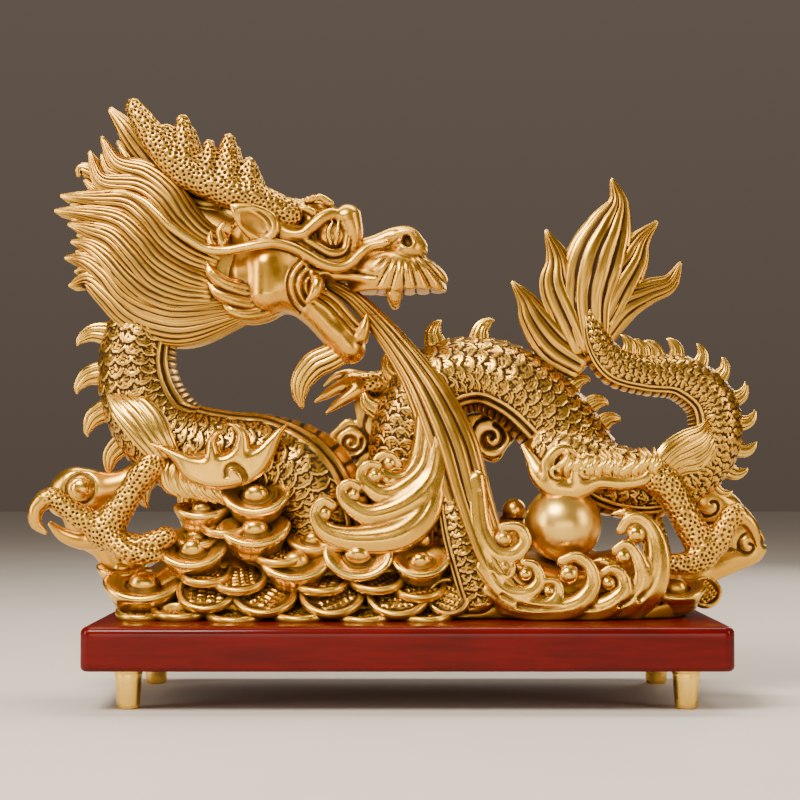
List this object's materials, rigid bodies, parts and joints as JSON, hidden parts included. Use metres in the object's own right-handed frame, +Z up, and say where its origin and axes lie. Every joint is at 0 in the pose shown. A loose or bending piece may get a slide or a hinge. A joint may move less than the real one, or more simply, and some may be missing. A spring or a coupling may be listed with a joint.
{
  "type": "dragon sculpture",
  "caption": "Cast brass dragon arching over waves, clouds, ingots and coins beside a pearl, fixed on a low red lacquered board with small tapered brass feet.",
  "frame": {"origin": "bottom centre of the bounding box: on the surface the four feet stand on, under the middle of the overall length and depth", "axes": "+Z up; +X along the length, to the right of a viewer who faces the front, from the dragon's mane toward its tail; -Y toward that viewer, to the front"},
  "size_m": [0.5, 0.18, 0.398],
  "materials": {
    "cast_brass": "antique cast brass, rubbed bright on the high parts, with a grey-brown patina in the recesses",
    "red_lacquer": "wood under deep red gloss lacquer",
    "polished_brass": "turned and polished brass"
  },
  "bodies": {
    "root": {"dragon_casting": "cast_brass", "lacquered_board": "red_lacquer", "foot_front_left": "polished_brass", "foot_front_right": "polished_brass", "foot_back_left": "polished_brass", "foot_back_right": "polished_brass"}
  },
  "joints": []
}
